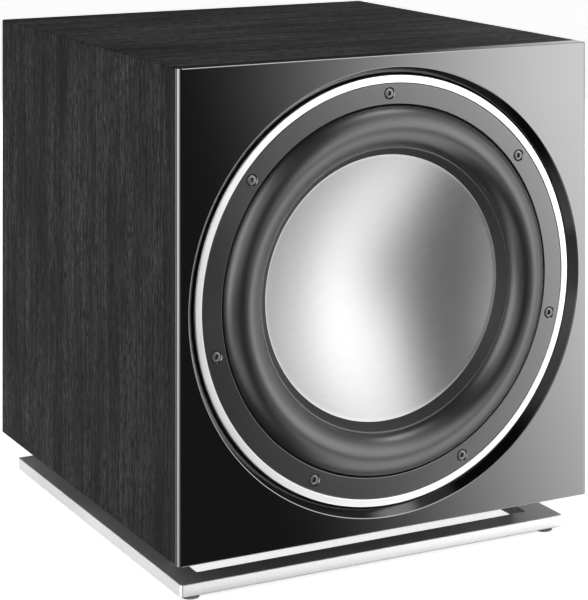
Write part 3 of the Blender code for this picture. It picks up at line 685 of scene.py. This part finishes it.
def build_dish():
    """Shallow metal dish with a small rolled rim."""
    centre_depth, wall = 0.0470, 0.0012
    sag = centre_depth - RIM_DEPTH
    sphere = (RIM ** 2 + sag ** 2) / (2 * sag)
    reach = math.degrees(math.asin(RIM / sphere))
    middle_depth = centre_depth - sphere
    front = arc((0, middle_depth), sphere, 90, 90 - reach, 40)
    back = arc((0, middle_depth), sphere + wall, 90 - reach, 90, 40)
    front[0].x = back[-1].x = 0
    edge = (front[-1] + back[0]) / 2
    direction = (back[0] - front[-1]).normalized()
    outward = Vector((direction.y, -direction.x))
    if outward.x < 0:
        outward = -outward
    lip = [edge + (outward * math.cos(a) - direction * math.sin(a)) * wall / 2
           for a in map(math.radians, (60, 20, -20, -60))]
    obj = on_driver("brushed_dish", front + lip + back, smooth=40)
    dress(obj, DISH, body="cone", nodes=["cone_dish"])


# ---------------------------------------------------------------- base

def upright_cylinder(node):
    """Foot of the axis, radius and height of a CAD node that stands upright."""
    low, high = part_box(node)
    foot = ((low.x + high.x) / 2, (low.y + high.y) / 2, low.z)
    return foot, (high.x - low.x) / 2, high.z - low.z


def build_feet():
    """Pale rubber pads under the base frame, and grooved spacers between it and the cabinet."""
    for index in range(1, 5):
        place, radius, height = upright_cylinder(f"rubber_foot_{index}")
        outline = rounded([(0, 0), (radius - 0.0004, 0), (radius, height), (0, height)],
                          [0, 0.0008, 0.0004, 0])
        foot = thing(f"turned_foot_{index}", lathe(outline, 64), at=place)
        dress(foot, RUBBER, nodes=[f"rubber_foot_{index}"])
        place, radius, height = upright_cylinder(f"base_spacer_{index}")
        groove = height / 2
        outline = rounded([(0, 0), (radius, 0), (radius, groove - 0.0012),
                           (radius - 0.0008, groove), (radius, groove + 0.0012),
                           (radius, height), (0, height)],
                          [0, 0.0005, 0.0002, 0.0003, 0.0002, 0.0005, 0])
        spacer = thing(f"turned_spacer_{index}", lathe(outline, 64), at=place)
        dress(spacer, POWDER, nodes=[f"base_spacer_{index}"])


# ---------------------------------------------------------------- amplifier

PLATE_THICKNESS = 0.003
PLATE_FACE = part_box("amp_gasket")[1].y + GAP + PLATE_THICKNESS


def on_plate(node):
    """The place of a control on the plate's outer face."""
    spot = middle(node)
    return Vector((spot.x, PLATE_FACE, spot.z))


def build_knob(name, body, node):
    """Fluted knob with a domed cap, and its white pointer."""
    flutes, flute_depth, steps = 28, 0.0004, 168
    at = on_plate(node)
    # Height over the plate, radius, and how much of the flutes' depth is reached.
    sections = [(0.0005, 0.0090, 0.0), (0.0007, 0.0094, 0.0), (0.0020, 0.0094, 0.0),
                (0.0024, 0.0091, 0.5), (0.0030, 0.0091, 1.0), (0.0105, 0.0087, 1.0),
                (0.0112, 0.0085, 0.6), (0.0119, 0.0080, 0.15), (0.0123, 0.0073, 0.0),
                (0.0122, 0.0060, 0.0), (0.0119, 0.0030, 0.0)]
    outlines = []
    for height, radius, share in sections:
        outline = []
        for step in range(steps):
            angle = math.tau * step / steps
            flute = share * flute_depth * (0.5 + 0.5 * math.cos(flutes * angle)) ** 2
            outline.append(((radius - flute) * math.cos(angle),
                            (radius - flute) * math.sin(angle), height))
        outlines.append(outline)
    knob = thing(name, loft(outlines), OUT_OF_REAR, at, smooth=50)
    shaft = lathe([(0, -0.010), (0.0029, -0.010), (0.0030, 0.0004), (0, 0.0004)], 48)
    dress(thing(f"{name}_shaft", shaft, OUT_OF_REAR, at), NICKEL, body)
    dress(knob, PLASTIC, body, [node])
    line = extrude(box_outline(0.0010, 0.0052, 0.0004, (0, 0.0056), 3), 0.0119, 0.0126, 0.0001)
    dress(thing(f"{name}_pointer", line, OUT_OF_REAR, at), WHITE_INK, body=body)


def build_dial_marks(name, node):
    """Eleven tick marks round a knob, on the plate."""
    at = on_plate(node)
    bm = bmesh.new()
    for index in range(11):
        turn = Matrix.Rotation(math.radians(-150 + 30 * index), 4, "Z")
        length = 0.0022 if index in (0, 5, 10) else 0.0014
        tick = extrude(box_outline(0.0004, length, centre=(0, 0.0116 + length / 2), steps=1),
                       0.00002, 0.00010)
        tick.transform(turn)
        mesh = bpy.data.meshes.new("tick")
        tick.to_mesh(mesh)
        tick.free()
        bm.from_mesh(mesh)
        bpy.data.meshes.remove(mesh)
    dress(thing(name, bm, OUT_OF_REAR, at), WHITE_INK)


def build_jack(name, node, ring):
    """Phono socket: nickel sleeve, coloured insulator and hollow centre contact."""
    at = on_plate(node)
    sleeve = rounded([(0.0031, -0.009), (0.0031, 0.0091), (0.0041, 0.0091), (0.0041, 0.0021),
                      (0.0062, 0.0021), (0.0062, 0.0003), (0.0045, 0.0003), (0.0045, -0.009)],
                     [0, 0.0002, 0.0003, 0.0002, 0.0003, 0, 0, 0], 4)
    dress(thing(name, lathe(sleeve, 64), OUT_OF_REAR, at), NICKEL, nodes=[node])
    core = rounded([(0.0016, -0.008), (0.0016, 0.0072), (0.00305, 0.0072), (0.00305, -0.008)],
                   [0, 0.0002, 0.0002, 0], 3)
    dress(thing(f"{name}_insulator", lathe(core, 48), OUT_OF_REAR, at), ring)


def build_controls():
    """Three knobs with their marks, two phono sockets and the status lamp."""
    for control in ("volume", "crossover", "phase"):
        build_knob(f"{control}_dial", f"{control}_control", f"{control}_knob")
        build_dial_marks(f"{control}_marks", f"{control}_knob")
    build_jack("phono_socket_left", "line_in_left", WHITE_PLASTIC)
    build_jack("phono_socket_right", "line_in_right", RED_PLASTIC)
    dome = arc((0, 0), 0.0025, 0, 90, 10)
    dome[-1].x = 0
    bezel = rounded([(0.00265, 0.0002), (0.00265, 0.0010), (0.0036, 0.0010), (0.0040, 0.0002)],
                    [0, 0.0003, 0.0004, 0], 4)
    lamp = on_plate("status_lamp")
    dress(thing("lamp_dome", lathe([(0, -0.008), (0.0025, -0.008)] + dome, 48), OUT_OF_REAR,
                lamp), LENS, nodes=["status_lamp"])
    dress(thing("lamp_bezel", lathe(bezel, 48), OUT_OF_REAR, lamp), NICKEL)


def build_plate_screws():
    """Pan heads with a cross recess."""
    outline = rounded([(0, -0.016), (0.0017, -0.016), (0.0017, 0.0003), (0.0037, 0.0003),
                       (0.0036, 0.0014), (0.0022, 0.0024), (0, 0.0025)],
                      [0, 0.0003, 0, 0.0002, 0.0005, 0.002, 0], 4)
    screw = thing("screw", lathe(outline, 48))
    tools = []
    for turn in (0, 90):
        blade = extrude(box_outline(0.0042, 0.0008), 0.0010, 0.004)
        blade.transform(Matrix.Rotation(math.radians(turn), 4, "Z"))
        tools.append(thing("blade", blade))
    cut(screw, *tools)
    for index in range(1, 7):
        place = on_plate(f"amp_screw_{index}")
        obj = copy_to(screw, f"cross_screw_{index}", place, OUT_OF_REAR, 37 * index)
        dress(obj, STEEL, nodes=[f"amp_screw_{index}"])
    bpy.data.objects.remove(screw)


def build_rocker():
    """Curved power rocker at rest on the first of its two stops."""
    joint = next(j for j in frame["joints"] if j["name"] == "power_rocker_tilt")
    pivot = Vector(joint["pos_m"])
    tilt = Matrix.Rotation(math.radians(-10), 4, "X")
    dished_face = arc((0.0230, 0), 0.0200, 180 - 18.2, 180 + 18.2, 12)
    shoulder, tail, half_width = Vector((-0.001, 0.0063)), Vector((-0.005, 0.0035)), 0.0104
    flipped = Vector((1, -1))
    outline = dished_face + [shoulder * flipped, tail * flipped, tail, shoulder]
    bm = extrude(outline, -half_width, half_width, 0.0003)
    bm.transform(tilt @ ALONG_X)
    dress(thing("curved_rocker", bm, at=pivot), GLOSS_PLASTIC, "rocker",
          ["power_rocker"])


# ---------------------------------------------------------------- carried-over CAD nodes

def paint(finish, *names):
    """Give CAD nodes that keep their shape a procedural finish."""
    for name in names:
        for item in NODES[name].material_slots:
            item.material = finish


def soften_node(name, width):
    """Fine edge rounding on a CAD node that keeps its shape."""
    modifier = NODES[name].modifiers.new("edges", "BEVEL")
    modifier.width, modifier.segments, modifier.limit_method = width, 2, "ANGLE"
    modifier.angle_limit = math.radians(40)
    modifier.harden_normals = True


def finish_nodes():
    """Finishes of the pieces whose CAD shape is kept."""
    paint(SILVER, "base_frame")
    soften_node("base_frame", 0.0004)
    paint(VENEER_UPRIGHT, "rear_panel")
    paint(BOARD_DARK, "inner_baffle", "cabinet_brace")
    paint(FOAM, "woofer_gasket", "amp_gasket")
    paint(CAST, "basket")
    paint(PULP, "cone_body")
    paint(FILM, "voice_coil_former")
    paint(COPPER, "voice_coil_winding")
    paint(ZINC, "top_plate", "pole_yoke")
    paint(FERRITE, "magnet_ring")
    paint(PLASTIC, "woofer_terminal", "mode_switch", "fuse_drawer")
    paint(GLOSS_PLASTIC, "mains_inlet")
    paint(POWDER, "amp_panel")
    paint(CIRCUIT, "amp_board")
    paint(TAPE, "transformer")
    paint(SLEEVE, "reservoir_capacitor")
    paint(CABLE, "driver_cable")


# ---------------------------------------------------------------- stage

def build_floor():
    """Pale floor; mirror-like rays see only a dark patch under the cabinet, painted shade in place
    of the shadow there.
    """
    bm = bmesh.new()
    bmesh.ops.create_grid(bm, x_segments=1, y_segments=1, size=6)
    floor = thing("studio_floor", bm)
    made, tree, shader = material("studio_floor", 0.9, IOR=1.3)
    spot = place_of(tree)
    feed(tree, mix(tree, noise(tree, spot, 3.0), 0.90, 0.92), shader.inputs["Base Color"])
    rays = tree.nodes.new("ShaderNodeLightPath")
    lift = Value(tree, rays.outputs["Is Camera Ray"]) * 0.86
    shader.inputs["Emission Color"].default_value = (1, 1, 1, 1)
    feed(tree, lift, shader.inputs["Emission Strength"])
    x, y, _ = split(tree, spot)
    # Painted shade: a dark diffuse patch over the cabinet's footprint, seen only by mirror-like
    # rays, stands in for the shadow under the cabinet.
    patch = x.math("ABSOLUTE").ease(0.20, 0.18) * y.math("ABSOLUTE").ease(0.21, 0.19)
    shade = tree.nodes.new("ShaderNodeBsdfDiffuse")
    shade.inputs["Color"].default_value = (0.12, 0.12, 0.12, 1)
    clear = tree.nodes.new("ShaderNodeBsdfTransparent")
    near = tree.nodes.new("ShaderNodeMixShader")
    feed(tree, patch, near.inputs[0])
    tree.links.new(clear.outputs[0], near.inputs[1])
    tree.links.new(shade.outputs[0], near.inputs[2])
    final = tree.nodes.new("ShaderNodeMixShader")
    tree.links.new(rays.outputs["Is Glossy Ray"], final.inputs[0])
    tree.links.new(shader.outputs[0], final.inputs[1])
    tree.links.new(near.outputs[0], final.inputs[2])
    tree.links.new(final.outputs[0], tree.nodes["Material Output"].inputs["Surface"])
    floor.data.materials.append(made)


def between(value, start, full, fade, end):
    """0 outside start to end and 1 from full to fade, with smooth slopes."""
    return value.ease(start, full) * value.ease(end, fade)


def studio_banks(turn, rise):
    """Light that reflections see, by direction in degrees round the cabinet and upward.

    Turn is 0 ahead of the front and 90 to its right. For the camera, the gloss front mirrors only
    rises of -23 to -7; outside them a bank can be wider, as only rough or round faces see it.
    """
    mirrored = between(rise, -30, -23, -7, 0)
    unseen = mirrored * -1 + 1
    # Main bank on the right, whose soft leaning edge gives the gloss front its gradient.
    lean = rise.ease(-8, -22, False) * 3.8
    main = (turn - lean + unseen * 18).ease(23.6, 36.4) ** 1.5 * (lean * -0.06 + 1)
    main = main * (turn.ease(64, 48) * 0.56 + 0.44) * turn.ease(122, 92)
    main = main * (rise.ease(-85, -50) * 0.4 + 0.6) * (rise.ease(58, 8) * 0.72 + 0.28) * 4.4
    # Bank on the left, for the round left edges and the left limbs of the rings.
    left = between(turn, -145, -137, -72, -54) * (rise.ease(-24, -6, False) * 0.55 + 0.45)
    left = left * between(rise, -45, -28, 40, 60) * 4.5
    # Weak light left of centre, kept off the gloss front.
    spill = between(turn, -80, -60, -40, -14) * (mirrored * -0.85 + 1)
    spill = spill * between(rise, -60, -40, 30, 50) * 2.0
    # Small bright patch high on the right.
    crown = between(turn, 46, 56, 80, 90) * between(rise, 50, 58, 68, 76) * 8
    # Fill on the right, behind the main bank.
    glow = between(turn, 96, 114, 140, 150) * between(rise, -60, -35, 10, 26) * 2.4
    # Low light behind, for the rear plate.
    behind = turn.ease(140, 150) * 1.4 + turn.ease(-148, -154) * 0.12 + turn.ease(-164, -172) * 1.3
    behind = behind * rise.ease(-2, -10)
    return main + left + spill + crown + glow + behind + 0.05


def build_world():
    """White backdrop; reflections see soft studio banks, other rays an even fill."""
    world = bpy.data.worlds.new("studio")
    bpy.context.scene.world = world
    world.use_nodes = True
    world.cycles.sampling_method = "NONE"
    tree = world.node_tree
    tree.nodes.clear()
    source = tree.nodes.new("ShaderNodeTexCoord")
    x, y, z = split(tree, source.outputs["Generated"])
    degrees = 180 / math.pi
    studio = studio_banks(x.math("ARCTAN2", y * -1) * degrees, z.math("ARCSINE") * degrees)
    rays = tree.nodes.new("ShaderNodeLightPath")
    camera_ray = Value(tree, rays.outputs["Is Camera Ray"])
    glossy_ray = Value(tree, rays.outputs["Is Glossy Ray"])
    rest = (camera_ray * -1 + 1) * (glossy_ray * -1 + 1)
    light = camera_ray * 1.25 + glossy_ray * studio + rest * 0.09
    shade = tree.nodes.new("ShaderNodeBackground")
    feed(tree, light, shade.inputs["Strength"])
    output = tree.nodes.new("ShaderNodeOutputWorld")
    tree.links.new(shade.outputs[0], output.inputs["Surface"])


def add_area(name, place, target, size, power):
    """A soft area light that reflections don't see."""
    data = bpy.data.lights.new(name, "AREA")
    data.shape, data.size, data.energy = "DISK", size, power
    light = bpy.data.objects.new(name, data)
    bpy.context.scene.collection.objects.link(light)
    light.location = place
    light.rotation_euler = (Vector(target) - Vector(place)).to_track_quat("-Z", "Y").to_euler()
    light.visible_glossy = False
    light.visible_camera = False


def build_lights():
    """A key light from the front left and a fill from behind on the right."""
    centre = (0, 0, 0.25)
    add_area("key", (-1.15, -1.45, 1.25), centre, 1.0, 12)
    add_area("rear_fill", (1.1, 2.1, 0.8), centre, 1.4, 30)


def build_camera():
    """Level lens with a dropped frame, so that uprights stay parallel."""
    spot = Vector((-0.9166, -1.77995, 0.6632))
    heading, focal_length = math.radians(-27.311), 129.7
    shifts = (("shift_x", 0.0221), ("shift_y", -0.8607))
    data = bpy.data.cameras.new("camera")
    camera = bpy.data.objects.new("camera", data)
    bpy.context.scene.collection.objects.link(camera)
    camera.location = spot
    camera.rotation_euler = (math.radians(90), 0, heading)
    data.lens, data.clip_start, data.clip_end = focal_length, 0.1, 50
    # The shift holds at the camera's own height only, so a camera moved elsewhere looks straight.
    for path, amount in shifts:
        driver = data.driver_add(path).driver
        driver.type = "SCRIPTED"
        height = driver.variables.new()
        height.name, height.type = "z", "TRANSFORMS"
        height.targets[0].id = camera
        height.targets[0].transform_type = "LOC_Z"
        driver.expression = f"{amount} * (abs(z - {spot.z}) < 0.001)"
    bpy.context.scene.camera = camera


def build_stage():
    """Floor, backdrop, lights and camera."""
    build_floor()
    build_world()
    build_lights()
    build_camera()
    bpy.context.scene.view_settings.view_transform = "Standard"


build_walls()
build_baffle()
build_rings()
build_screws()
build_surround()
build_spider()
build_dish()
build_feet()
build_controls()
build_plate_screws()
build_rocker()
finish_nodes()
build_stage()
